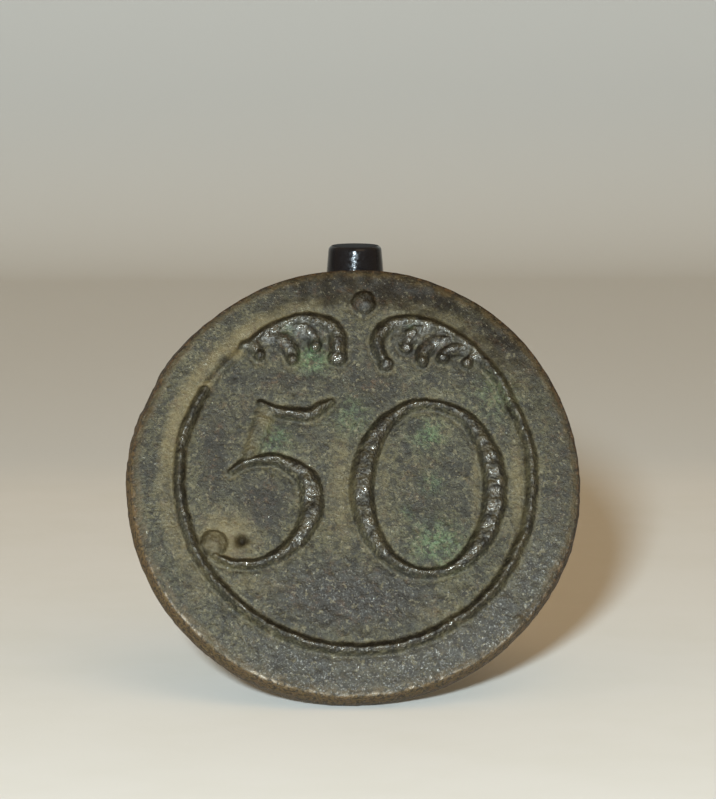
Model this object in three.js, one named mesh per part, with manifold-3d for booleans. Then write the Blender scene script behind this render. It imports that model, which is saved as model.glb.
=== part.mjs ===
// A cast bronze fare token, leaning back against the small black peg that holds it up for display.
// Millimetres, +Z up, the token's face towards -Y, the peg behind it at +Y, both standing on Z = 0.
import * as THREE from 'three';
import { mergeVertices } from 'three/addons/utils/BufferGeometryUtils.js';
import Module from 'manifold-3d';

const wasm = await Module();
wasm.setup();

// Driving dimensions.
const TOKEN_RADIUS = 12.6;
const FIELD_HEIGHT = 2.1; // the flat face, measured from the token's back
const RELIEF = 0.38; // how far the design stands up from the face
const EDGE_BEVEL = 0.2; // worn corner between the face or back and the side
const LEAN = THREE.MathUtils.degToRad(26); // back from upright
const ROLL = THREE.MathUtils.degToRad(3); // clockwise, seen from the front
const GAP = 0.3; // between the token's back and the peg

const PEG_TOP = 24.5;
const PEG_SIDEWAYS = 0.45; // the peg stands a little to the right of the token's middle
const PEG_TOP_RADIUS = 1.54;
const PEG_TAPER = Math.tan(THREE.MathUtils.degToRad(3.8));
const PEG_SHOULDER = 0.3; // rounded corner round the peg's top
const FOOT_RADIUS = 4.5;
const FOOT_HEIGHT = 1.2;
const FOOT_CORNER = 0.25;

// Working values of the meshes.
const ROUND_SEGMENTS = 96;
const PEG_SEGMENTS = 48;
const ROOT_DEPTH = 0.5; // how deep a stroke starts below the face, so that it joins the disc
const SHOULDER = 0.12; // chamfer along the top of every raised stroke
const STEPS_PER_SPAN = 3;
const STUD_SIDES = 14;

const bronze = new THREE.MeshStandardMaterial({ color: 0x5c5b50, roughness: 0.5, metalness: 0.8 });
const blackPlastic = new THREE.MeshStandardMaterial({ color: 0x111012, roughness: 0.2, metalness: 0 });

// ---- the design, in the plane of the face: x to the right, y up, from the token's centre ----

const RING = { x: 0, y: 0, radius: 9.93, halfWidth: 0.36, from: 150, to: 388 };
const ZERO = { outer: [4.04, -0.34, 4.42, 5.28], inner: [4.12, -0.42, 2.95, 4.74] }; // centre, half axes

// Each stroke is a few [x, y, half width] stations that a smooth curve runs through.
const STROKES = {
  five_flag: [[-5.5, 4.25, 0.2], [-4.6, 3.82, 0.34], [-3.5, 3.66, 0.38], [-2.7, 3.72, 0.38],
    [-2.1, 4.1, 0.32], [-1.5, 4.5, 0.18]],
  five_stem: [[-5.2, 3.8, 0.44], [-5.5, 2.7, 0.46], [-5.9, 1.5, 0.42], [-6.5, 0.5, 0.25]],
  five_bowl: [[-7.0, 0.08, 0.16], [-6.3, 0.62, 0.24], [-5.4, 0.92, 0.28], [-4.4, 0.9, 0.34],
    [-3.25, 0.36, 0.52], [-2.56, -0.4, 0.68], [-2.36, -1.5, 0.76], [-2.54, -2.6, 0.68],
    [-3.2, -3.75, 0.5], [-4.3, -4.75, 0.36], [-5.6, -5.22, 0.27], [-6.8, -5.25, 0.25],
    [-7.7, -4.85, 0.24]],
  left_scroll: [[-8.6, 5.0, 0.26], [-7.0, 7.0, 0.3], [-5.2, 8.5, 0.36], [-3.5, 9.32, 0.38],
    [-2.1, 9.2, 0.44], [-1.3, 8.5, 0.44], [-1.25, 7.4, 0.36]],
  left_lobe_outer: [[-6.6, 7.6, 0.24], [-5.95, 7.7, 0.36], [-5.65, 7.15, 0.24]],
  left_lobe_middle: [[-5.5, 8.2, 0.3], [-4.5, 8.1, 0.44], [-3.9, 7.6, 0.42], [-3.8, 7.0, 0.26]],
  left_lobe_inner: [[-4.1, 8.95, 0.28], [-3.2, 8.75, 0.42], [-2.7, 8.3, 0.38], [-2.6, 7.8, 0.26]],
  right_scroll: [[8.85, 4.4, 0.34], [7.8, 6.4, 0.34], [6.2, 8.12, 0.36], [4.3, 9.25, 0.38],
    [2.5, 9.5, 0.42], [1.3, 8.95, 0.44], [0.95, 8.0, 0.4], [1.4, 7.0, 0.32]],
  right_lobe_inner: [[3.9, 9.2, 0.26], [3.0, 8.9, 0.42], [2.65, 8.4, 0.38], [2.65, 7.95, 0.26]],
  right_lobe_middle: [[5.1, 8.65, 0.26], [4.2, 8.3, 0.42], [3.65, 7.8, 0.38], [3.6, 7.25, 0.26]],
  right_lobe_outer: [[6.2, 8.0, 0.26], [5.3, 8.05, 0.38], [4.8, 7.75, 0.36], [4.7, 7.4, 0.24]],
  right_lobe_last: [[7.1, 7.25, 0.22], [6.45, 7.7, 0.32], [6.1, 7.25, 0.24]],
};

// Low round bosses: [x, y, radius].
const BALLS = [
  [-7.78, -4.12, 0.78], // the end of the five's tail
  [0.14, 10.55, 0.7], // the pellet on the border
  [-1.25, 7.2, 0.44], // left scroll
  [1.5, 6.88, 0.4], // right scroll
];

// ---- solids ----

function toSolid(geometry) {
  const bare = geometry.clone();
  bare.deleteAttribute('normal');
  bare.deleteAttribute('uv');
  const merged = mergeVertices(bare, 1e-4);
  const triVerts = Uint32Array.from(merged.index.array);
  const vertProperties = Float32Array.from(merged.attributes.position.array);
  return new wasm.Manifold(new wasm.Mesh({ numProp: 3, vertProperties, triVerts }));
}

function toGeometry(solid) {
  const mesh = solid.getMesh();
  const geometry = new THREE.BufferGeometry();
  geometry.setAttribute('position', new THREE.BufferAttribute(mesh.vertProperties, 3));
  geometry.setIndex(new THREE.BufferAttribute(mesh.triVerts, 1));
  geometry.computeVertexNormals();
  return geometry;
}

// The corners of one round stud of a stroke, with a chamfer round its top.
function studCorners({ x, y, z: radius }) {
  const levels = [
    [radius, FIELD_HEIGHT - ROOT_DEPTH],
    [radius, FIELD_HEIGHT + RELIEF - SHOULDER],
    [radius - SHOULDER, FIELD_HEIGHT + RELIEF],
  ];
  const turns = Array.from({ length: STUD_SIDES }, (_, k) => (2 * Math.PI * k) / STUD_SIDES);
  return levels.flatMap(([r, height]) => (
    turns.map((turn) => [x + r * Math.cos(turn), y + r * Math.sin(turn), height])
  ));
}

// A raised stroke: studs along a smooth curve, each one joined to the next.
function stroke(stations) {
  const curve = new THREE.CatmullRomCurve3(stations.map(([x, y, w]) => new THREE.Vector3(x, y, w)));
  const studs = curve.getPoints(STEPS_PER_SPAN * (stations.length - 1)).map(studCorners);
  const links = studs.slice(1).map((corners, i) => wasm.Manifold.hull([...studs[i], ...corners]));
  return wasm.Manifold.union(links);
}

function ringShape({ x, y, radius, halfWidth, from, to }) {
  const start = THREE.MathUtils.degToRad(from);
  const end = THREE.MathUtils.degToRad(to);
  const shape = new THREE.Shape();
  shape.absarc(x, y, radius + halfWidth, start, end, false);
  shape.absarc(x, y, radius - halfWidth, end, start, true);
  shape.closePath();
  return shape;
}

function zeroShape({ outer, inner }) {
  const shape = new THREE.Shape();
  shape.absellipse(...outer, 0, 2 * Math.PI, false);
  const counter = new THREE.Path();
  counter.absellipse(...inner, 0, 2 * Math.PI, true);
  shape.holes.push(counter);
  return shape;
}

// A flat outline raised from the face, with a chamfered top edge.
function raise(shape, curveSegments) {
  const geometry = new THREE.ExtrudeGeometry(shape, {
    depth: ROOT_DEPTH + RELIEF - 2 * SHOULDER,
    bevelEnabled: true,
    bevelThickness: SHOULDER,
    bevelSize: SHOULDER,
    bevelOffset: -SHOULDER,
    bevelSegments: 1,
    curveSegments,
  });
  geometry.translate(0, 0, FIELD_HEIGHT - ROOT_DEPTH + SHOULDER);
  return toSolid(geometry);
}

function boss([x, y, radius]) {
  const geometry = new THREE.SphereGeometry(radius, 14, 8);
  geometry.scale(1, 1, RELIEF / radius);
  geometry.translate(x, y, FIELD_HEIGHT);
  return toSolid(geometry);
}

function tokenDisc() {
  const worn = TOKEN_RADIUS - EDGE_BEVEL;
  const profile = [
    new THREE.Vector2(0, 0),
    new THREE.Vector2(worn, 0),
    new THREE.Vector2(TOKEN_RADIUS, EDGE_BEVEL),
    new THREE.Vector2(TOKEN_RADIUS, FIELD_HEIGHT - EDGE_BEVEL),
    new THREE.Vector2(worn, FIELD_HEIGHT),
    new THREE.Vector2(0, FIELD_HEIGHT),
  ];
  const disc = new THREE.LatheGeometry(profile, ROUND_SEGMENTS);
  disc.rotateX(Math.PI / 2); // the lathe's axis becomes the token's, with its face towards +z
  let solid = toSolid(disc);
  solid = solid.add(raise(ringShape(RING), 56));
  solid = solid.add(raise(zeroShape(ZERO), 24));
  Object.values(STROKES).forEach((stations) => {
    solid = solid.add(stroke(stations));
  });
  BALLS.forEach((ball) => {
    solid = solid.add(boss(ball));
  });
  const mesh = new THREE.Mesh(toGeometry(solid), bronze);
  mesh.name = 'token_disc';
  mesh.rotation.set(Math.PI / 2 - LEAN, 0, -ROLL);
  mesh.position.z = TOKEN_RADIUS * Math.cos(LEAN) - EDGE_BEVEL * Math.sin(LEAN);
  return mesh;
}

function supportPeg() {
  const radiusAt = (height) => PEG_TOP_RADIUS + (PEG_TOP - height) * PEG_TAPER;
  const profile = [
    new THREE.Vector2(0, 0),
    new THREE.Vector2(FOOT_RADIUS, 0),
    new THREE.Vector2(FOOT_RADIUS, FOOT_HEIGHT - FOOT_CORNER),
    new THREE.Vector2(FOOT_RADIUS - FOOT_CORNER, FOOT_HEIGHT),
    new THREE.Vector2(radiusAt(FOOT_HEIGHT), FOOT_HEIGHT),
  ];
  for (let step = 0; step <= 3; step += 1) {
    const turn = (step / 3) * (Math.PI / 2);
    profile.push(new THREE.Vector2(
      PEG_TOP_RADIUS - PEG_SHOULDER * (1 - Math.cos(turn)),
      PEG_TOP - PEG_SHOULDER * (1 - Math.sin(turn)),
    ));
  }
  profile.push(new THREE.Vector2(0, PEG_TOP));
  const geometry = new THREE.LatheGeometry(profile, PEG_SEGMENTS);
  geometry.rotateX(Math.PI / 2);
  const mesh = new THREE.Mesh(toGeometry(toSolid(geometry)), blackPlastic);
  mesh.name = 'support_peg';
  // The token's back is nearest to the peg at the top of its flat back.
  const topOfBack = (TOKEN_RADIUS + TOKEN_RADIUS - EDGE_BEVEL) * Math.cos(LEAN);
  const backAtTop = (TOKEN_RADIUS - EDGE_BEVEL) * Math.sin(LEAN);
  mesh.position.x = PEG_SIDEWAYS;
  mesh.position.y = backAtTop + GAP + radiusAt(topOfBack);
  return mesh;
}

const assembly = new THREE.Group();
assembly.add(tokenDisc(), supportPeg());
assembly.updateMatrixWorld(true);
const box = new THREE.Box3().setFromObject(assembly, true);
assembly.position.y = -(box.min.y + box.max.y) / 2;

const group = new THREE.Group();
group.add(assembly);

export default group;
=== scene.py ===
"""A cast bronze fare token leaning on a small black display peg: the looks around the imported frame."""
import math

import bpy
import numpy as np
from mathutils import Matrix, Vector


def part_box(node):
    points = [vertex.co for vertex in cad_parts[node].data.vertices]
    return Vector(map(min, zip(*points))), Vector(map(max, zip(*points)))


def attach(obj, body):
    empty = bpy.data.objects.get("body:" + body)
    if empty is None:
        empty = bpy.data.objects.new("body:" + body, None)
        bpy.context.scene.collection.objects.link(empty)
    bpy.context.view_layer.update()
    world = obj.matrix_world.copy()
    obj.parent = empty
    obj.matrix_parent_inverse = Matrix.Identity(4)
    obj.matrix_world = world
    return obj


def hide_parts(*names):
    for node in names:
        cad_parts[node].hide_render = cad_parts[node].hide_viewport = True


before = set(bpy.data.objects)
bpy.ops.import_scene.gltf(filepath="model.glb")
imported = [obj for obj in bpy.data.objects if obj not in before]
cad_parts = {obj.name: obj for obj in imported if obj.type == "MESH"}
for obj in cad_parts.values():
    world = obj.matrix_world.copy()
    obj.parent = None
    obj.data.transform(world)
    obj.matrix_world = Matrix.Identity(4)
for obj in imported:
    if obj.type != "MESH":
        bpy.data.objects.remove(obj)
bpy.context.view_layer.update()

# Everything below is worked out in millimetres and written to Blender in metres.
MM = 0.001

# Driving dimensions, as in the CAD.
TOKEN_RADIUS = 12.6
FIELD_HEIGHT = 2.1
RELIEF = 0.44
EDGE_BEVEL = 0.2
LEAN = math.radians(26)
ROLL = math.radians(3)

# The design in the plane of the face: x to the right, y up, from the token's centre.
RING = {"radius": 9.93, "half_width": 0.31, "start": 150, "end": 388}
ZERO = {"centre": (4.07, -0.38), "outer": (4.42, 5.28), "inner": (3.08, 4.74)}

# Each stroke is a few (x, y, half width) stations that a smooth curve runs through.
STROKES = {
    "five_flag": [(-5.5, 4.25, 0.2), (-4.6, 3.82, 0.34), (-3.5, 3.66, 0.38), (-2.7, 3.72, 0.38),
                  (-2.1, 4.1, 0.32), (-1.5, 4.5, 0.18)],
    "five_stem": [(-5.2, 3.7, 0.55), (-5.5, 2.7, 0.6), (-5.8, 1.6, 0.5), (-6.4, 0.6, 0.3)],
    "five_bowl": [(-7.0, 0.08, 0.16), (-6.3, 0.62, 0.24), (-5.4, 0.92, 0.28), (-4.4, 0.9, 0.34),
                  (-3.25, 0.36, 0.48), (-2.6, -0.4, 0.6), (-2.4, -1.5, 0.66), (-2.58, -2.6, 0.6),
                  (-3.2, -3.75, 0.5), (-4.3, -4.75, 0.36), (-5.6, -5.22, 0.27), (-6.8, -5.25, 0.25),
                  (-7.7, -4.85, 0.24)],
    "left_join": [(-8.6, 5.0, 0.3), (-7.6, 6.35, 0.32), (-6.2, 7.75, 0.34), (-5.0, 8.6, 0.34)],
    "left_scroll": [(-6.2, 7.75, 0.24), (-5.2, 8.5, 0.36), (-3.5, 9.32, 0.38),
                    (-2.1, 9.2, 0.5), (-1.35, 8.5, 0.52), (-1.25, 7.4, 0.46)],
    "left_fan": [(-6.0, 7.7, 0.4), (-4.7, 8.3, 0.7), (-3.2, 8.7, 0.75), (-2.3, 8.6, 0.6)],
    "left_lobe_outer": [(-6.6, 7.6, 0.3), (-5.95, 7.6, 0.46), (-5.65, 7.1, 0.3)],
    "left_lobe_middle": [(-5.6, 8.2, 0.34), (-4.6, 8.15, 0.52), (-3.95, 7.6, 0.5), (-3.8, 6.95, 0.34)],
    "left_lobe_inner": [(-4.2, 8.95, 0.34), (-3.2, 8.75, 0.5), (-2.65, 8.25, 0.46), (-2.55, 7.75, 0.32)],
    "right_scroll": [(8.85, 4.4, 0.34), (7.8, 6.4, 0.34), (6.2, 8.12, 0.36), (4.3, 9.25, 0.38),
                     (2.5, 9.5, 0.42), (1.3, 8.95, 0.44), (0.95, 8.0, 0.4), (1.4, 7.0, 0.32)],
    "right_fan": [(6.4, 7.8, 0.4), (5.0, 8.35, 0.65), (3.4, 8.75, 0.75), (2.3, 8.7, 0.6)],
    "right_lobe_inner": [(3.9, 9.2, 0.3), (3.0, 8.9, 0.5), (2.6, 8.35, 0.46), (2.6, 7.9, 0.32)],
    "right_lobe_middle": [(5.1, 8.65, 0.3), (4.2, 8.3, 0.5), (3.6, 7.75, 0.46), (3.55, 7.2, 0.32)],
    "right_lobe_outer": [(6.2, 8.0, 0.3), (5.3, 8.0, 0.46), (4.8, 7.7, 0.42), (4.7, 7.35, 0.28)],
    "right_lobe_last": [(7.1, 7.25, 0.26), (6.45, 7.6, 0.4), (6.1, 7.2, 0.28)],
}
LOBES = [name for name in STROKES if "lobe" in name]

# Share of the relief, for the strokes that are worn or were cast low.
STROKE_HEIGHT = {"five_stem": 0.5, "left_join": 0.42, "left_fan": 0.5, "right_fan": 0.5}
STROKE_HEIGHT.update({name: 0.8 for name in LOBES})
LOW_STROKE = 0.6  # a stroke lower than this share has no dark outline of painted shade

# Round bosses: x, y, radius, share of the relief. The ball that ends the 5, the pellet at the top,
# a bead at the end of each scroll and a small one at the end of each lobe.
FIVE_BALL = (-7.78, -4.12, 0.78, 0.75)
PELLET = (0.14, 10.55, 0.7, 1.0)
BEADS = [(-1.25, 7.15, 0.52, 1.15), (1.5, 6.86, 0.42, 1.1)]
BEADS += [(STROKES[name][-1][0], STROKES[name][-1][1], 0.34, 1.05) for name in LOBES]

# Casting faults on the face. Pits: x, y, radius, depth. Grains: x, y, radius, height.
PITS = [(-6.25, -3.85, 0.46, 0.45), (5.15, 7.5, 0.22, 0.3), (6.25, 0.45, 0.16, 0.12),
        (5.75, -3.35, 0.16, 0.14), (-4.65, 0.05, 0.14, 0.1), (-7.0, 5.7, 0.16, 0.1),
        (-3.65, 4.9, 0.16, 0.08)]
GRAINS = [(-6.65, 2.7, 0.12, 0.12), (-0.2, 3.1, 0.12, 0.12), (1.45, 10.4, 0.13, 0.12),
          (-10.65, 4.9, 0.14, 0.12), (5.15, -2.6, 0.2, 0.08), (2.15, 2.6, 0.12, 0.1),
          (9.3, -7.75, 0.3, 0.16)]

# Ochre dirt on the face: x, y, half width, half height, strength.
OCHRES = [(-7.2, -3.8, 1.7, 1.6, 1.3), (-5.2, -6.4, 1.6, 0.5, 0.6), (-8.6, -6.2, 0.7, 1.6, 0.6),
          (-5.2, 3.1, 0.5, 1.0, 1.0), (-5.9, 1.7, 0.5, 0.8, 0.8), (9.35, -7.8, 0.35, 0.3, 1.0),
          (-0.8, -0.6, 0.8, 3.2, 0.7), (9.15, -0.4, 0.5, 4.4, 0.8), (1.55, -0.3, 0.3, 3.0, 0.5),
          (6.75, -0.4, 0.3, 3.2, 0.7), (5.4, -7.7, 2.6, 0.6, 0.4), (8.9, 6.4, 1.0, 1.4, 0.4)]

# Ochre dirt along the outside of the ring and scrolls: middle and half spread in degrees, strength.
OCHRE_BANDS = [(145, 45, 1.25), (195, 25, 0.7), (62, 22, 0.7), (300, 30, 0.3)]

# Darker, slate-grey clouds on the face: x, y, half width, half height, strength.
LOWER_FIELD = (0, -6.9, 4.6, 1.9, 1.0)
# The wide cloud along the top border, at (1.5, 11.5), is partly slate grey and partly painted shade on the
# top of the border.
SLATES = [LOWER_FIELD, (-7.9, 1.6, 0.9, 3.0, 0.8), (-5.2, -1.7, 1.3, 1.5, 0.9),
          (-4.2, 5.6, 2.6, 0.8, 0.6), (0.6, 5.3, 1.9, 1.7, 0.7), (1.5, 11.5, 6.5, 1.4, 1.0),
          (8.6, 8.6, 2.6, 2.2, 0.9), (11.5, 1.5, 0.8, 5.0, 0.6), (3.9, -0.8, 1.6, 2.6, 0.5),
          (6.2, 6.4, 1.6, 0.8, 0.6), (-1.5, 2.4, 1.5, 0.7, 0.4), (0.14, 10.5, 0.9, 0.9, 1.0),
          (-4.3, 2.6, 0.45, 1.0, 0.6), (-9.9, 0.5, 0.5, 4.0, 0.5),
          (-3.5, 8.1, 3.2, 1.3, 0.8), (3.9, 8.1, 3.4, 1.3, 0.8)]

# Verdigris on the face: x, y, radius, strength.
GREENS = [(-2.6, 7.05, 0.75, 1.0), (-4.6, 2.1, 0.8, 0.6), (4.0, 2.8, 0.8, 0.75), (4.7, -3.6, 1.3, 0.7),
          (4.3, -0.15, 0.6, 0.5), (3.0, -1.9, 0.4, 0.5), (-0.4, 3.7, 1.0, 0.45), (7.6, 5.2, 1.2, 0.35),
          (2.9, 9.35, 0.4, 0.5), (-4.0, 8.75, 0.5, 0.4)]

# The casting's unevenness, in height.
FIELD_SWELL = 0.03
FIELD_GRAIN = 0.019
LOWER_GRAIN = 1.6  # how much more grain the lower half has, as a share
STROKE_LUMPS = 0.05
TRACE_DEPTH = 0.05  # of the dished trace beside each stroke
BORDER_DROP = 0.16  # how far the border rolls over at the rim
BURR_HEIGHT = 0.17

# How many small faults there are besides the named ones.
SMALL_PITS, SMALL_GRAINS, BACK_LUMPS = 150, 240, 90


# ---- smooth noise, the same on every run ----

def lattice_noise(x, y, wavelength, seed):
    """Smooth noise from -1 to 1 at points of a plane."""
    size = 256
    table = np.random.default_rng(seed).uniform(-1, 1, (size, size))
    u, v = x / wavelength + 57.3, y / wavelength + 91.7
    iu, iv = np.floor(u).astype(int), np.floor(v).astype(int)
    fu, fv = u - iu, v - iv
    fu, fv = fu * fu * (3 - 2 * fu), fv * fv * (3 - 2 * fv)
    a, b = table[iu % size, iv % size], table[(iu + 1) % size, iv % size]
    c, d = table[iu % size, (iv + 1) % size], table[(iu + 1) % size, (iv + 1) % size]
    return (a * (1 - fu) + b * fu) * (1 - fv) + (c * (1 - fu) + d * fu) * fv


def fractal_noise(x, y, wavelength, octaves, seed):
    """Noise with finer noise on it: each octave is half as long and half as high as the last."""
    total = np.zeros_like(x)
    for k in range(octaves):
        turn = 0.7 * k + 0.4
        xr = x * math.cos(turn) - y * math.sin(turn)
        yr = x * math.sin(turn) + y * math.cos(turn)
        total += lattice_noise(xr, yr, wavelength / 2 ** k, seed + k) / 2 ** k
    return total


def smooth_step(low, high, value):
    t = np.clip((value - low) / (high - low), 0, 1)
    return t * t * (3 - 2 * t)


def spot(x, y, px, py, wide, tall, power=1.0):
    """A soft oval spot, 1 at its middle; a higher power gives it a flatter top."""
    return np.exp(-(((x - px) / wide) ** 2 + ((y - py) / tall) ** 2) ** power)


def patches(x, y, spots, power=1.5):
    """The strongest of several spots at each point: x, y, half width, half height, strength."""
    most = np.zeros_like(x)
    for px, py, wide, tall, strength in spots:
        most = np.maximum(most, strength * spot(x, y, px, py, wide, tall, power))
    return most


# ---- the raised design ----

def smooth_path(stations, per_span=14):
    """A Catmull-Rom curve through the stations, as rows of x, y, half width."""
    nodes = np.array([stations[0], *stations, stations[-1]], float)
    t = np.linspace(0, 1, per_span, endpoint=False)[:, None]
    rows = []
    for a, b, c, d in zip(nodes, nodes[1:], nodes[2:], nodes[3:]):
        rows.append(0.5 * (2 * b + (c - a) * t + (2 * a - 5 * b + 4 * c - d) * t ** 2
                           + (3 * b - a - 3 * c + d) * t ** 3))
    return np.vstack([*rows, nodes[-1:]])


def path_inside(x, y, path):
    """How far each point is inside the stroke's edge; negative outside."""
    best = np.full(x.shape, -9.0)
    for px, py, width in path:
        best = np.maximum(best, width - np.hypot(x - px, y - py))
    return best


def ring_inside(x, y):
    """The same for the ring, which is open at the top; it thins out past its two ends."""
    angle = np.degrees(np.arctan2(y, x)) % 360
    angle = np.where(angle < RING["end"] - 360, angle + 360, angle)
    beyond = np.maximum(RING["start"] - angle, angle - RING["end"])
    across = RING["half_width"] - np.abs(np.hypot(x, y) - RING["radius"])
    past_end = np.radians(np.maximum(beyond, 0)) * RING["radius"]
    return across - 2.0 * past_end


def oval_radius(half_axes, angle):
    """Radius of an oval, from its half width and half height, in each direction."""
    a, b = half_axes
    return a * b / np.hypot(b * np.cos(angle), a * np.sin(angle))


def zero_inside(x, y):
    """The same for the 0, which lies between two ovals."""
    cx, cy = ZERO["centre"]
    angle = np.arctan2(y - cy, x - cx)
    outer, inner = oval_radius(ZERO["outer"], angle), oval_radius(ZERO["inner"], angle)
    middle, half = (outer + inner) / 2, (outer - inner) / 2
    return half - np.abs(np.hypot(x - cx, y - cy) - middle)


def rise(inside, shoulder=0.4, foot=0.06):
    """Height of a stroke, 0 to 1, from the distance inside its edge: a soft foot and a round shoulder."""
    t = np.clip((inside + foot) / (shoulder + foot), 0, 1)
    return np.sin(t * math.pi / 2) ** 1.25


def design(x, y):
    """Height of the raised design, as a share of the relief, and the distance outside its strokes."""
    x = x + 0.05 * fractal_noise(x, y, 0.9, 3, 11)
    y = y + 0.05 * fractal_noise(x, y, 0.9, 3, 15)
    parts = [(ring_inside(x, y), 1.0), (zero_inside(x, y), 1.0)]
    for name, stations in STROKES.items():
        parts.append((path_inside(x, y, smooth_path(stations)), STROKE_HEIGHT.get(name, 1.0)))
    height, inside = np.zeros_like(x), np.full(x.shape, -9.0)
    for part, share in parts:
        height = np.maximum(height, share * rise(part))
        if share > LOW_STROKE:
            inside = np.maximum(inside, part)
    for px, py, radius, share in [FIVE_BALL, PELLET, *BEADS]:
        part = radius - np.hypot(x - px, y - py)
        dome = np.sqrt(np.clip(1 - (1 - np.clip(part / radius, 0, 1)) ** 2, 0, 1))
        height = np.maximum(height, share * dome)
        inside = np.maximum(inside, part)
    return height, -inside


# ---- the token's mesh ----

GRID = 260  # cells across the face
BACK_GRID = GRID // 2
SIDE_ROWS = 7
RIM_BLEND = 8  # how sharply the grid takes up the rim's unevenness towards the rim
SIDE_FOOT = 0.17  # the height that the side runs down to, at the back's rim


def outline_radius(angle):
    """The worn rim: slightly oval, with slow and quick unevenness and a small step at the upper left."""
    slow = lattice_noise(4 * np.cos(angle), 4 * np.sin(angle), 1.3, 5)
    quick = lattice_noise(12.5 * np.cos(angle), 12.5 * np.sin(angle), 0.55, 6)
    step = 0.1 * smooth_step(0.03, -0.03, np.abs((angle % (2 * math.pi)) - math.radians(158)) - 0.09)
    oval = 0.1 * np.cos(2 * (angle - math.radians(50)))
    return TOKEN_RADIUS + oval + 0.05 * slow + 0.014 * quick - step


class DiscGrid:
    """A square grid bent into a disc and stretched to the token's worn rim."""

    def __init__(self, cells):
        self.cells = cells
        steps = np.linspace(-1, 1, cells + 1)
        a, b = np.meshgrid(steps, steps, indexing="ij")
        share = np.maximum(np.abs(a), np.abs(b))
        with np.errstate(divide="ignore", invalid="ignore"):
            angle = np.where(np.abs(a) >= np.abs(b), np.where(a > 0, 0, math.pi) + math.pi / 4 * b / a,
                             np.where(b > 0, math.pi / 2, 3 * math.pi / 2) - math.pi / 4 * a / b)
        self.share = share.ravel()
        self.angle = np.where(share == 0, 0, angle).ravel()
        reach = TOKEN_RADIUS + (outline_radius(self.angle) - TOKEN_RADIUS) * self.share ** RIM_BLEND
        self.radius = self.share * reach
        self.x, self.y = self.radius * np.cos(self.angle), self.radius * np.sin(self.angle)
        self.from_rim = TOKEN_RADIUS * (1 - self.share)

    def rim(self):
        """The rim's points in order round the disc, anticlockwise from the right."""
        n = self.cells
        rim = [(n, j) for j in range(n)] + [(n - i, n) for i in range(n)]
        rim += [(0, n - j) for j in range(n)] + [(i, 0) for i in range(n)]
        return np.roll([i * (n + 1) + j for i, j in rim], -(n // 2))

    def faces(self, first, flip):
        i, j = np.meshgrid(np.arange(self.cells), np.arange(self.cells), indexing="ij")
        row = self.cells + 1
        a = (i * row + j).ravel() + first
        quads = np.stack([a, a + row, a + row + 1, a + 1], 1)
        return quads[:, ::-1] if flip else quads


def scattered(named, count, sizes, depths, seed):
    """The named faults and many small ones, each as x, y, radius, depth."""
    rng = np.random.default_rng(seed)
    radius, turn = 12 * np.sqrt(rng.uniform(0, 1, count)), rng.uniform(0, 2 * math.pi, count)
    size, depth = rng.uniform(*sizes, count), rng.uniform(*depths, count)
    return list(named) + list(zip(radius * np.cos(turn), radius * np.sin(turn), size, depth))


def face_heights(face):
    """Height of the front over the token's back, height of its design, and distance outside the design."""
    x, y = face.x, face.y
    height, outside = design(x, y)
    wear = 1 + 0.2 * lattice_noise(x, y, 1.5, 21) + 0.12 * lattice_noise(x, y, 0.6, 22)
    z = FIELD_HEIGHT + RELIEF * height * wear
    z += FIELD_SWELL * fractal_noise(x, y, 3.5, 2, 31)
    z += FIELD_GRAIN * (1 + LOWER_GRAIN * smooth_step(1, 6, -y)) * fractal_noise(x, y, 0.42, 2, 41)
    z += STROKE_LUMPS * smooth_step(0.15, 0.7, height) * fractal_noise(x, y, 0.3, 2, 45)
    # A low dished trace beside every stroke, where the mould was pressed.
    z -= TRACE_DEPTH * np.exp(-((outside - 0.12) / 0.16) ** 2) * (outside > 0)
    for px, py, radius, depth in scattered(PITS, SMALL_PITS, (0.05, 0.13), (0.03, 0.07), 51):
        z -= depth * spot(x, y, px, py, 0.55 * radius, 0.55 * radius)
    for px, py, radius, lift in scattered(GRAINS, SMALL_GRAINS, (0.05, 0.09), (0.03, 0.06), 52):
        z += lift * spot(x, y, px, py, 0.6 * radius, 0.6 * radius)
    # The border rolls over towards the rim, and at the bottom a burr stands up on it.
    z -= BORDER_DROP * (1 - smooth_step(0, 0.55, face.from_rim)) ** 1.6
    bottom = smooth_step(0.55, 0.9, -y / np.maximum(np.hypot(x, y), 1e-6))
    ragged = 0.5 + 0.5 * lattice_noise(x, y, 0.3, 61)
    z += BURR_HEIGHT * bottom * ragged * np.exp(-((face.from_rim - 0.16) / 0.11) ** 2)
    return z, height, outside


def back_heights(back):
    """Height of the cast back: a shallow dish inside a plain rim, with casting grain."""
    x, y = back.x, back.y
    z = 0.10 * smooth_step(0.0, 0.5, 10.6 - np.hypot(x, y)) + 0.05
    z += 0.03 * fractal_noise(x, y, 2.6, 3, 71)
    z += 0.012 * lattice_noise(x, y, 0.45, 72)
    for px, py, radius, depth in scattered([], BACK_LUMPS, (0.1, 0.3), (0.04, 0.1), 73):
        z += depth * spot(x, y, px, py, 0.55 * radius, 0.55 * radius)
    return z + 0.12 * (1 - smooth_step(0, 0.5, back.from_rim))


def side_flare(angle):
    """The side flares towards the back, most at the left."""
    return 0.02 + 0.14 * smooth_step(0.2, 1.0, -np.cos(angle))


def side_row(angle, radius, z, t):
    """One row round the side, at a share t of the way from the face's rim down to the back's."""
    bulge = 0.08 * (1 - abs(2 * t - 1) ** 3) + 0.05 * np.exp(-((t - 0.45) / 0.12) ** 2)
    grain = 0.025 * lattice_noise(angle * TOKEN_RADIUS, np.full(len(angle), t * 2), 0.3, 81)
    r = radius + bulge + grain + side_flare(angle) * smooth_step(0, 0.5, np.array(t))
    return np.stack([r * np.cos(angle), r * np.sin(angle), z * (1 - t) + SIDE_FOOT * t], 1)


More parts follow.
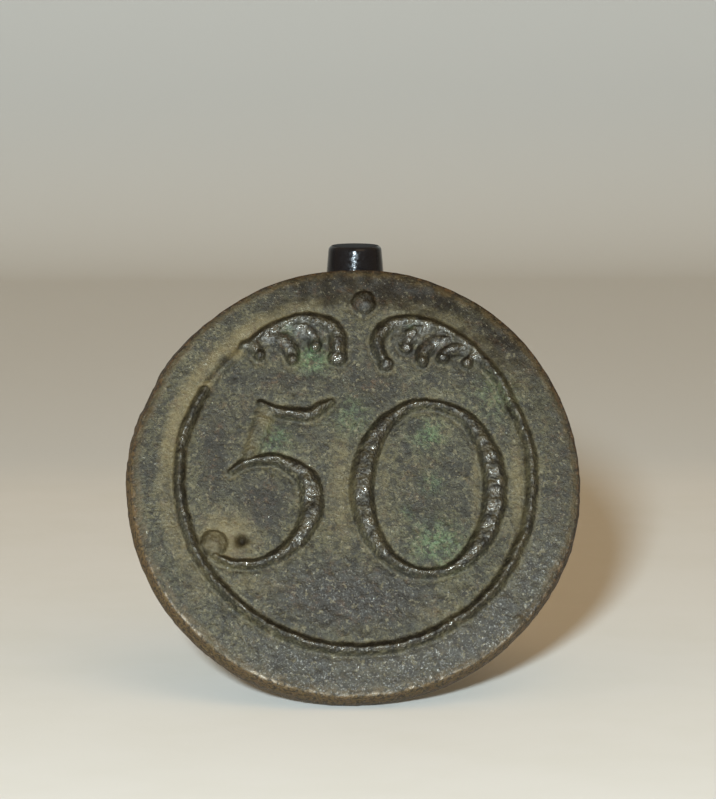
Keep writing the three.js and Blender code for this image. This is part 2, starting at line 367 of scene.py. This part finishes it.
def token_mesh(face, face_z, back):
    """The closed mesh in the token's own axes: face, side and back."""
    points = [np.stack([face.x, face.y, face_z], 1)]
    faces = [face.faces(0, flip=False)]
    rim = face.rim()
    last, first = rim, len(face.x)
    for row in range(1, SIDE_ROWS + 1):
        t = row / (SIDE_ROWS + 1)
        points.append(side_row(face.angle[rim], face.radius[rim], face_z[rim], t))
        ids = first + np.arange(len(rim))
        faces.append(np.stack([last, ids, np.roll(ids, -1), np.roll(last, -1)], 1))
        last, first = ids, first + len(rim)

    # The back's grid is half as fine, so its rim meets every other point of the side.
    flare = side_flare(back.angle) * back.share ** RIM_BLEND
    back_x, back_y = back.x + flare * np.cos(back.angle), back.y + flare * np.sin(back.angle)
    points.append(np.stack([back_x, back_y, back_heights(back)], 1))
    faces.append(back.faces(first, flip=True))
    near = first + back.rim()
    far = np.roll(near, -1)
    even, odd = last[0::2], last[1::2]
    faces += [np.stack([even, near, odd], 1), np.stack([odd, near, far], 1),
              np.stack([odd, far, np.roll(even, -1)], 1)]

    mesh = bpy.data.meshes.new("cast_token")
    polygons = [polygon for group in faces for polygon in group.tolist()]
    mesh.from_pydata((np.vstack(points) * MM).tolist(), [], polygons)
    mesh.polygons.foreach_set("use_smooth", np.ones(len(mesh.polygons), bool))
    return mesh


# ---- what the token's patina follows ----

# ridge: raised metal, painted lighter on slopes that face left. shade: painted shade on the slopes that
# face up and on the top of the border, and darker colour in hollows.
# worn: painted highlights, with real gloss, on the slopes that face down, most of all on the beads, and
# along the burr.
# ochre, green, slate: patches of ochre dirt, verdigris and slate grey.
# side: the side and the back's rim. corner: the worn corner. floor_bounce: painted light from the floor on
# metal that faces down to the left.
# border: the sparkling lower border and the field above it.
MASKS = ("ridge", "shade", "worn", "ochre", "side", "corner", "floor_bounce", "green", "slate", "border")
UP_X, UP_Y = -0.25, 0.97  # the direction across the face that the slopes with painted shade look towards


def relief_masks(face, normals, height, outside):
    """The ridge, painted shade and painted glint masks of the face."""
    x, y, from_rim = face.x, face.y, face.from_rim
    radius = np.hypot(x, y)
    facing_up = UP_Y * normals[:, 1] + UP_X * normals[:, 0]
    facing_side = np.abs(UP_Y * normals[:, 0] - UP_X * normals[:, 1])
    on_design = smooth_step(0.3, 0.0, outside) * (from_rim > 0.5)
    on_ball = sum(np.hypot(x - px, y - py) < 1.1 * size for px, py, size, _ in (FIVE_BALL, PELLET))
    # Painted light: slopes that face left, towards the key light, get less of the dark ridge colour and
    # stay lighter olive.
    olive = 0.55 * smooth_step(0.2, 0.6, -normals[:, 0])
    ridge = height * (1 - 0.4 * on_ball) * (1 - olive)

    # Darker colour along the inside of the ring, in the pits and on the 5's ball.
    darkened = 0.8 * np.exp(-((radius - RING["radius"] + 0.36) / 0.13) ** 2) * smooth_step(5.5, 4.5, y)
    for px, py, size, _ in PITS:
        darkened = np.maximum(darkened, min(2.2, 4.6 * size) * spot(x, y, px, py, 0.85 * size, 0.85 * size))
    ball_x, ball_y, ball_radius, _ = FIVE_BALL
    darkened = np.maximum(darkened, 0.55 * (np.hypot(x - ball_x, y - ball_y) < ball_radius))
    # Painted shade: the border is darkest at the top, on both sides of the pellet.
    top_border_shade = smooth_step(10.1, 10.7, radius) * np.exp(-((degrees_round(x, y) - 72) / 50) ** 4)
    # Painted shade on the slopes that face up and on the top of the border.
    shade = np.maximum(smooth_step(0.2, 0.6, facing_up) * on_design, darkened)
    shade = patchiness(x, y) * np.maximum(shade, 0.8 * top_border_shade)

    burr_line = np.exp(-((from_rim - 0.12) / 0.07) ** 2) * smooth_step(0.3, 0.8, -y / TOKEN_RADIUS)
    # Painted glints: slopes that face down, where the key light glints, get lighter colour and gloss.
    lower_slope = smooth_step(0.08, -0.24, facing_up) * on_design * (1 - 0.5 * on_ball)
    lower_slope *= 0.2 + 0.8 * smooth_step(0.4, 0.1, facing_side)
    worn = np.maximum(lower_slope, burr_line)
    # The beads get three times the painted glints.
    for px, py, size, _ in BEADS:
        worn *= 1 + 2 * (np.hypot(x - px, y - py) < size)
    return {"ridge": ridge, "shade": shade, "worn": worn}


def degrees_round(x, y):
    """Degrees anticlockwise from the right."""
    return np.degrees(np.arctan2(y, x)) % 360


def patchiness(x, y):
    return 0.75 + 0.45 * lattice_noise(x, y, 0.45, 92)


def dirt_masks(face, outside):
    """The ochre, green, slate and border masks of the face."""
    x, y = face.x, face.y
    radius, turn = np.hypot(x, y), degrees_round(x, y)
    ochre = patches(x, y, OCHRES)
    beside = smooth_step(1.15, 0.35, outside) * smooth_step(9.4, 9.9, radius) * (outside > 0)
    beside = np.maximum(beside, np.exp(-((radius - RING["radius"] - 0.8) / 0.45) ** 2))
    for middle, spread, strength in OCHRE_BANDS:
        ochre = np.maximum(ochre, strength * beside * np.exp(-((turn - middle) / spread) ** 4))
    foot_line = 0.5 * patchiness(x, y) * np.exp(-((outside - 0.16) / 0.1) ** 2)
    green = patches(x, y, [(px, py, size, size, strength) for px, py, size, strength in GREENS], 1.0)
    low_border = smooth_step(10.2, 10.6, radius) * np.exp(-((turn - 290) / 55) ** 4)
    return {"ochre": np.maximum(ochre, foot_line), "green": green, "slate": patches(x, y, SLATES),
            "border": np.maximum(low_border, 0.5 * patches(x, y, [LOWER_FIELD]))}


def edge_masks(face):
    """The side and corner masks of the face."""
    edge = face.from_rim + 0.1 * lattice_noise(face.x, face.y, 0.5, 91)
    return {"side": 1 - smooth_step(0.06, 0.2, edge), "corner": np.exp(-((edge - 0.3) / 0.2) ** 2)}


def back_masks(back):
    """The masks of the token's back."""
    green = 0.6 * smooth_step(0.35, 0.9, fractal_noise(back.x, back.y, 4.0, 3, 95))
    return {"side": 1 - smooth_step(0.2, 1.0, back.from_rim), "green": green, "slate": 0.4}


def make_token():
    face, back = DiscGrid(GRID), DiscGrid(BACK_GRID)
    z, height, outside = face_heights(face)
    mesh = token_mesh(face, z, back)

    normals = np.zeros(len(mesh.vertices) * 3)
    mesh.vertices.foreach_get("normal", normals)
    normals = normals.reshape(-1, 3)
    masks = {name: np.zeros(len(normals)) for name in MASKS}
    masks["side"][:] = 1
    # Painted light: metal that faces down to the left is made lighter, as if lit from the pale floor
    # below.
    masks["floor_bounce"][:] = smooth_step(0.2, -0.5, normals[:, 1] + 0.5 * normals[:, 0])
    on_face = relief_masks(face, normals[:len(face.x)], height, outside)
    on_face.update(dirt_masks(face, outside), **edge_masks(face))
    for name, values in on_face.items():
        masks[name][:len(face.x)] = values
    for name, values in back_masks(back).items():
        masks[name][-len(back.x):] = values
    for name, values in masks.items():
        mesh.attributes.new(name, "FLOAT", "POINT").data.foreach_set("value", values.astype(np.float32))

    mesh.transform(token_to_frame())
    mesh.validate()
    token = bpy.data.objects.new("cast_token", mesh)
    bpy.context.scene.collection.objects.link(token)
    return token


def token_to_frame():
    """The matrix from the token's own axes, in metres, to the frame."""
    _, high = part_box("token_disc")
    y = high.y / MM - (TOKEN_RADIUS - EDGE_BEVEL) * math.sin(LEAN)
    z = TOKEN_RADIUS * math.cos(LEAN) - EDGE_BEVEL * math.sin(LEAN)
    place = Matrix.Translation(Vector((0, y, z)) * MM)
    return place @ Matrix.Rotation(math.pi / 2 - LEAN, 4, "X") @ Matrix.Rotation(-ROLL, 4, "Z")


# ---- the peg's mesh ----

PEG_SEGMENTS = 160
PEG_TOP_RADIUS = 1.54
PEG_SHOULDER = 0.3
PEG_TAPER = math.tan(math.radians(3.8))
PEG_WOBBLE = 0.006
FOOT_HEIGHT = 1.2
FOOT_LOWER_ROUND = 0.15
FOOT_UPPER_ROUND = 0.3
FOOT_FILLET = 0.6


def arc(cx, cz, radius, start, end, steps=8):
    """Points of an arc between two angles in degrees."""
    turns = np.radians(np.linspace(start, end, steps))
    return [(cx + radius * math.cos(t), cz + radius * math.sin(t)) for t in turns]


def peg_profile(top, foot_radius):
    """The peg's outline from the middle of its underside to the middle of its top: radius, height."""
    profile = [(0.0, 0.0), (foot_radius - 0.5, 0.0)]
    profile += arc(foot_radius - FOOT_LOWER_ROUND, FOOT_LOWER_ROUND, FOOT_LOWER_ROUND, -90, 0)
    profile += arc(foot_radius - FOOT_UPPER_ROUND, FOOT_HEIGHT - FOOT_UPPER_ROUND, FOOT_UPPER_ROUND, 0, 90)
    at_foot = PEG_TOP_RADIUS + (top - FOOT_HEIGHT) * PEG_TAPER
    profile += arc(at_foot + FOOT_FILLET, FOOT_HEIGHT + FOOT_FILLET, FOOT_FILLET, -90, -180)
    for z in np.linspace(FOOT_HEIGHT + 2 * FOOT_FILLET, top - 1, 24):
        profile.append((PEG_TOP_RADIUS + (top - z) * PEG_TAPER, float(z)))
    profile += arc(PEG_TOP_RADIUS - PEG_SHOULDER, top - PEG_SHOULDER, PEG_SHOULDER, 0, 80)
    profile += [(PEG_TOP_RADIUS * share, top - 0.004) for share in (0.6, 0.3)]
    return profile + [(0.0, top)]


def turned_faces(rows):
    """Faces between the rows of a turned shape, whose first and last rows are single points."""
    faces = []
    for lower, upper in zip(rows, rows[1:]):
        for k in range(PEG_SEGMENTS):
            n = (k + 1) % PEG_SEGMENTS
            if len(lower) == 1:
                faces.append((lower[0], upper[n], upper[k]))
            elif len(upper) == 1:
                faces.append((lower[k], lower[n], upper[0]))
            else:
                faces.append((lower[k], lower[n], upper[n], upper[k]))
    return faces


def make_peg():
    low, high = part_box("support_peg")
    centre_x, centre_y, top = (low.x + high.x) / 2 / MM, (low.y + high.y) / 2 / MM, high.z / MM
    turns = np.linspace(0, 2 * math.pi, PEG_SEGMENTS, endpoint=False)
    points, rows = [], []
    for r, z in peg_profile(top, (high.x - low.x) / 2 / MM):
        if r == 0:
            rows.append([len(points)])
            points.append((0, 0, z))
            continue
        rows.append(list(range(len(points), len(points) + PEG_SEGMENTS)))
        wobble = PEG_WOBBLE * lattice_noise(3 * np.cos(turns) + 9, 3 * np.sin(turns) + z, 0.8, 7)
        points += [((r + w) * math.cos(t), (r + w) * math.sin(t), z) for t, w in zip(turns, wobble)]
    mesh = bpy.data.meshes.new("display_peg")
    placed = [((px + centre_x) * MM, (py + centre_y) * MM, pz * MM) for px, py, pz in points]
    mesh.from_pydata(placed, [], turned_faces(rows))
    mesh.polygons.foreach_set("use_smooth", np.ones(len(mesh.polygons), bool))
    sawn = np.array([z > top - 0.03 for _, _, z in points], np.float32)
    mesh.attributes.new("sawn_top", "FLOAT", "POINT").data.foreach_set("value", sawn)
    peg = bpy.data.objects.new("display_peg", mesh)
    bpy.context.scene.collection.objects.link(peg)
    return peg


# ---- materials ----

class Shader:
    """A material's node tree, with short calls for the nodes used here."""

    def __init__(self, name):
        self.material = bpy.data.materials.new(name)
        self.material.use_nodes = True
        self.tree = self.material.node_tree
        self.surface = self.tree.nodes["Principled BSDF"]
        self.place = self.tree.nodes.new("ShaderNodeTexCoord").outputs["Object"]

    def put(self, socket, value):
        if isinstance(value, bpy.types.NodeSocket):
            self.tree.links.new(value, socket)
        else:
            socket.default_value = value

    def noise(self, wavelength_mm, detail=3, roughness=0.6, distortion=0.0):
        node = self.tree.nodes.new("ShaderNodeTexNoise")
        self.put(node.inputs["Vector"], self.place)
        node.inputs["Scale"].default_value = 1 / (wavelength_mm * MM)
        node.inputs["Detail"].default_value = detail
        node.inputs["Roughness"].default_value = roughness
        node.inputs["Distortion"].default_value = distortion
        return node.outputs["Fac"]

    def cells(self, wavelength_mm):
        node = self.tree.nodes.new("ShaderNodeTexVoronoi")
        self.put(node.inputs["Vector"], self.place)
        node.inputs["Scale"].default_value = 1 / (wavelength_mm * MM)
        return node.outputs["Distance"]

    def mask(self, name):
        node = self.tree.nodes.new("ShaderNodeAttribute")
        node.attribute_name = name
        return node.outputs["Fac"]

    def span(self, value, low, high, to_low=0.0, to_high=1.0):
        node = self.tree.nodes.new("ShaderNodeMapRange")
        node.interpolation_type = "SMOOTHSTEP"
        self.put(node.inputs["Value"], value)
        names = ("From Min", "From Max", "To Min", "To Max")
        for name, number in zip(names, (low, high, to_low, to_high)):
            node.inputs[name].default_value = number
        return node.outputs["Result"]

    def math(self, operation, a, b):
        node = self.tree.nodes.new("ShaderNodeMath")
        node.operation = operation
        self.put(node.inputs[0], a)
        self.put(node.inputs[1], b)
        return node.outputs["Value"]

    def times(self, a, b):
        return self.math("MULTIPLY", a, b)

    def mix(self, factor, a, b):
        node = self.tree.nodes.new("ShaderNodeMix")
        node.data_type = "RGBA"
        self.put(node.inputs["Factor"], factor)
        self.put(node.inputs["A"], a)
        self.put(node.inputs["B"], b)
        return node.outputs["Result"]

    def bump(self, height, distance_mm, strength, normal=None):
        node = self.tree.nodes.new("ShaderNodeBump")
        node.inputs["Strength"].default_value = strength
        node.inputs["Distance"].default_value = distance_mm * MM
        self.put(node.inputs["Height"], height)
        if normal is not None:
            self.put(node.inputs["Normal"], normal)
        return node.outputs["Normal"]

    def set(self, **values):
        for name, value in values.items():
            self.put(self.surface.inputs[name.replace("_", " ")], value)


def srgb(red, green, blue):
    """A colour seen on a screen, 0 to 255, as linear light."""
    return tuple(((c / 255 + 0.055) / 1.055) ** 2.4 for c in (red, green, blue)) + (1.0,)


# How much darker, and how much warmer, the metal is than it looks under the strong cool light.
PATINA_DEPTH = (0.56, 0.48, 0.38)

# The token's colours as they look when lit, 0 to 255.
PATINA = {
    "field_grey": (77, 78, 65), "field_olive": (91, 90, 70), "slate": (42, 37, 30),
    "ochre": (114, 107, 80), "verdigris": (96, 130, 98), "rust": (92, 72, 54),
    "blot": (28, 26, 22), "grain": (28, 26, 21), "fleck": (132, 130, 110), "border": (62, 63, 66),
    "metal_dark": (27, 23, 18), "metal_brown": (70, 64, 47), "shade": (28, 22, 16),
    "side_brown_shaded": (56, 44, 29), "side_olive_lit": (112, 96, 64), "side_mottle": (110, 86, 58),
    "side_grain": (30, 24, 18), "corner": (88, 78, 58),
    # The last three are painted highlights: glinting slopes, bright specks and the glinting burr.
    "glint": (120, 120, 122), "glint_speck": (180, 176, 160), "burr_glint": (200, 190, 168),
}


def patina(name):
    """One of the token's colours, made as dark as the light asks for."""
    return tuple(depth * c for depth, c in zip(PATINA_DEPTH, srgb(*PATINA[name]))) + (1.0,)


def field_colour(s, masks, mottle, grain):
    """Grey-green and olive clouds with patches of dirt and dark blots."""
    clouds, blots = s.noise(2.4, 4), s.noise(0.9, 6, 0.75, 0.6)
    colour = s.mix(s.span(clouds, 0.38, 0.62), patina("field_grey"), patina("field_olive"))
    slate = s.times(masks["slate"], s.span(mottle, 0.3, 0.5, 0.65, 1))
    colour = s.mix(slate, colour, patina("slate"))
    ochre = s.times(masks["ochre"], s.span(mottle, 0.36, 0.56, 0.6, 1))
    colour = s.mix(ochre, colour, patina("ochre"))
    green = s.times(masks["green"], s.span(mottle, 0.36, 0.52))
    colour = s.mix(green, colour, patina("verdigris"))
    rust = s.times(s.span(s.noise(0.65, 4, 0.7), 0.54, 0.64), s.span(masks["slate"], 0, 1, 0.3, 0.7))
    colour = s.mix(rust, colour, patina("rust"))
    exposed = s.math("SUBTRACT", 1.0, s.times(masks["ochre"], 0.6))
    colour = s.mix(s.times(exposed, s.span(blots, 0.44, 0.62, 0, 0.78)), colour, patina("blot"))
    colour = s.mix(s.times(exposed, s.span(grain, 0.44, 0.6, 0, 0.76)), colour, patina("grain"))
    colour = s.mix(s.times(masks["border"], 0.6), colour, patina("border"))
    flecks = s.span(s.noise(0.28, 3, 0.6), 0.58, 0.67, 0, 0.5)
    return s.mix(flecks, colour, patina("fleck"))


def raised_colour(s, masks, mottle, colour):
    """Raised metal is brown and dark by turns; painted shade makes it nearly black on the slopes that face
    up.
    """
    brown = s.mix(s.span(mottle, 0.42, 0.56), patina("metal_dark"), patina("metal_brown"))
    browned = s.times(s.span(masks["ridge"], 0.3, 0.8, 0, 0.75), s.span(masks["slate"], 0, 1, 1, 0.35))
    colour = s.mix(browned, colour, brown)
    return s.mix(s.times(masks["shade"], 0.72), colour, patina("shade"))


def edge_colour(s, masks, mottle, grain, colour):
    """The worn corner is beige; the side is brown above, as painted shade, and lighter olive-brown below,
    as painted light bounced from the floor.
    """
    # Painted shade and light: darker brown where the side faces up, lighter olive where it faces down to
    # the floor.
    flank = s.mix(masks["floor_bounce"], patina("side_brown_shaded"), patina("side_olive_lit"))
    flank = s.mix(s.span(mottle, 0.42, 0.6, 0, 0.6), flank, patina("side_mottle"))
    flank = s.mix(s.span(grain, 0.46, 0.58, 0, 0.85), flank, patina("side_grain"))
    corner = s.times(masks["corner"], s.span(mottle, 0.4, 0.58, 0.15, 0.85))
    return s.mix(masks["side"], s.mix(corner, colour, patina("corner")), flank)


def bronze_material():
    s = Shader("patinated_bronze")
    masks = {name: s.mask(name) for name in MASKS}
    mottle, grain, specks = s.noise(0.5, 5, 0.7), s.noise(0.2, 4, 0.75), s.noise(0.11, 2)
    colour = field_colour(s, masks, mottle, grain)
    colour = raised_colour(s, masks, mottle, colour)
    colour = edge_colour(s, masks, mottle, grain, colour)

    # Painted highlights, with real gloss: lighter colour on the slopes that face down, bright beige on the
    # burr and bright specks.
    worn_side = s.times(masks["worn"], masks["side"])
    glint = s.math("MAXIMUM", s.times(masks["worn"], s.span(masks["ridge"], 0.35, 0.8)), worn_side)
    glint = s.math("MINIMUM", s.times(glint, s.span(mottle, 0.42, 0.53, 0.25, 1)), 1.0)
    # Painted highlights: bright specks of colour, with real gloss, as sparkling glints.
    glint_speck = s.span(specks, 0.66, 0.73)
    sparkle = s.times(masks["border"], s.span(specks, 0.54, 0.64, 0, 0.7))
    # Painted highlights: the burr along the lower rim is painted bright beige, as glints.
    burr_glint = s.times(worn_side, s.span(mottle, 0.48, 0.54, 0, 0.45))
    colour = s.mix(s.times(glint, 0.15), colour, patina("glint"))
    colour = s.mix(s.times(glint_speck, 0.5), colour, patina("glint_speck"))
    colour = s.mix(burr_glint, colour, patina("burr_glint"))

    gloss = s.math("MAXIMUM", s.times(glint, 0.95), s.math("MAXIMUM", glint_speck, sparkle))
    roughness = s.math("SUBTRACT", s.span(mottle, 0.35, 0.65, 0.62, 0.46), s.times(gloss, 0.4))
    roughness = s.math("ADD", roughness, s.times(masks["side"], 0.08))
    specular = s.math("ADD", 0.18, s.times(gloss, 0.62))
    specular = s.times(specular, s.span(masks["shade"], 0, 0.8, 1, 0.35))
    s.set(Base_Color=colour, Roughness=roughness, Metallic=0.25, IOR=1.9, Specular_IOR_Level=specular)
    s.set(Specular_Tint=(1.0, 0.97, 0.9, 1))
    fine = s.bump(specks, 0.03, 0.8)
    granular = s.bump(grain, 0.08, 1.0, fine)
    s.set(Normal=s.bump(s.times(s.cells(0.18), masks["ridge"]), 0.07, 1.0, granular))
    return s.material


def peg_material():
    s = Shader("black_plastic")
    smudge, scuff = s.noise(1.1, 4), s.noise(0.16, 3)
    colour = s.mix(s.span(smudge, 0.4, 0.7), srgb(11, 10, 12), srgb(18, 17, 18))
    roughness = s.math("MAXIMUM", s.span(scuff, 0.35, 0.7, 0.08, 0.24), s.mask("sawn_top"))
    s.set(Base_Color=colour, Roughness=roughness, Specular_IOR_Level=0.3)
    s.set(Normal=s.bump(scuff, 0.014, 0.7))
    return s.material


def dress(piece, material, body, node):
    piece.data.materials.clear()
    piece.data.materials.append(material)
    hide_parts(node)
    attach(piece, body)


dress(make_token(), bronze_material(), "token", "token_disc")
dress(make_peg(), peg_material(), "stand", "support_peg")


# ---- floor, backdrop, lights and camera ----

WALL_DISTANCE = 330
WALL_HEIGHT = 400.0
COVE_RADIUS = 90
FLOOR_REACH = 2400  # to the front and to each side


def studio_paint():
    """Warm white floor paint that turns into a cooler wall."""
    s = Shader("studio_paint")
    place = s.tree.nodes.new("ShaderNodeSeparateXYZ")
    s.put(place.inputs[0], s.place)
    to_wall, up_wall = s.span(place.outputs["Y"], 0.07, 0.1), s.span(place.outputs["Z"], 0.0, 0.02)
    floor = s.mix(s.span(s.noise(9, 3), 0.35, 0.7), srgb(214, 210, 202), srgb(212, 208, 199))
    wall = s.mix(up_wall, srgb(204, 203, 198), srgb(191, 193, 191))
    s.set(Base_Color=s.mix(to_wall, floor, wall), Roughness=0.8, Specular_IOR_Level=0.1)
    return s.material


def make_stage():
    """A pale floor that curves up into a plain wall behind."""
    profile = [(-FLOOR_REACH, 0.0), (-300.0, 0.0), (0.0, 0.0), (WALL_DISTANCE - COVE_RADIUS, 0.0)]
    profile += arc(WALL_DISTANCE - COVE_RADIUS, COVE_RADIUS, COVE_RADIUS, -88, 0, 24)
    profile += [(float(WALL_DISTANCE), WALL_HEIGHT)]
    points = [(x * MM, y * MM, z * MM) for y, z in profile for x in (-FLOOR_REACH, FLOOR_REACH)]
    faces = [(2 * k, 2 * k + 1, 2 * k + 3, 2 * k + 2) for k in range(len(profile) - 1)]
    mesh = bpy.data.meshes.new("studio")
    mesh.from_pydata(points, [], faces)
    mesh.polygons.foreach_set("use_smooth", np.ones(len(mesh.polygons), bool))
    studio = bpy.data.objects.new("studio", mesh)
    bpy.context.scene.collection.objects.link(studio)
    mesh.materials.append(studio_paint())


def direction(azimuth, elevation):
    """The unit vector towards a place seen from the part; azimuth 0 is in front, at -Y, and 90 at +X."""
    a, e = math.radians(azimuth), math.radians(elevation)
    return Vector((math.sin(a) * math.cos(e), -math.cos(a) * math.cos(e), math.sin(e)))


def aim(thing, target):
    thing.rotation_euler = (target - thing.location).to_track_quat("-Z", "Y").to_euler()


def soft_light(name, azimuth, elevation, distance, size, power, colour):
    """A round light that faces the token's middle, with its distance and size in mm and power in watts."""
    data = bpy.data.lights.new(name, "AREA")
    data.shape = "DISK"
    data.size = size * MM
    data.energy = power
    data.color = colour
    light = bpy.data.objects.new(name, data)
    target = Vector((0, 0, 12 * MM))
    light.location = target + direction(azimuth, elevation) * distance * MM
    aim(light, target)
    bpy.context.scene.collection.objects.link(light)


COOL, WARM = (0.72, 0.87, 0.97), (1.0, 0.72, 0.44)


def light_scene():
    soft_light("key", azimuth=-8, elevation=14, distance=350, size=24, power=3.3, colour=COOL)
    soft_light("fill", azimuth=20, elevation=50, distance=700, size=500, power=0.8, colour=WARM)
    world = bpy.data.worlds.new("studio_world")
    world.use_nodes = True
    background = world.node_tree.nodes["Background"]
    background.inputs["Color"].default_value = (1.0, 0.7, 0.37, 1)
    background.inputs["Strength"].default_value = 0.35
    bpy.context.scene.world = world
    bpy.context.scene.view_settings.view_transform = "Standard"


CAMERA_DISTANCE = 250
CAMERA_AZIMUTH = -3
CAMERA_ELEVATION = 8
SENSOR_WIDTH = 36
FRAME_HEIGHT = 44.8  # what the picture's longer side spans at the token's face
FACE_RIGHT, FACE_DOWN = -0.13, 4.46  # the face's centre from the picture's


def make_camera():
    centre = token_to_frame() @ Vector((0, 0, FIELD_HEIGHT * MM))
    data = bpy.data.cameras.new("camera")
    data.sensor_fit = "AUTO"
    data.sensor_width = SENSOR_WIDTH
    data.lens = SENSOR_WIDTH * CAMERA_DISTANCE / FRAME_HEIGHT
    data.clip_start, data.clip_end = 0.01, 5
    camera = bpy.data.objects.new("camera", data)
    towards = direction(CAMERA_AZIMUTH, CAMERA_ELEVATION)
    camera.location = centre + towards * CAMERA_DISTANCE * MM
    right = Vector((0, 0, 1)).cross(towards).normalized()
    up = towards.cross(right).normalized()
    aim(camera, centre - (right * FACE_RIGHT - up * FACE_DOWN) * MM)
    bpy.context.scene.collection.objects.link(camera)
    bpy.context.scene.camera = camera


make_stage()
light_scene()
make_camera()
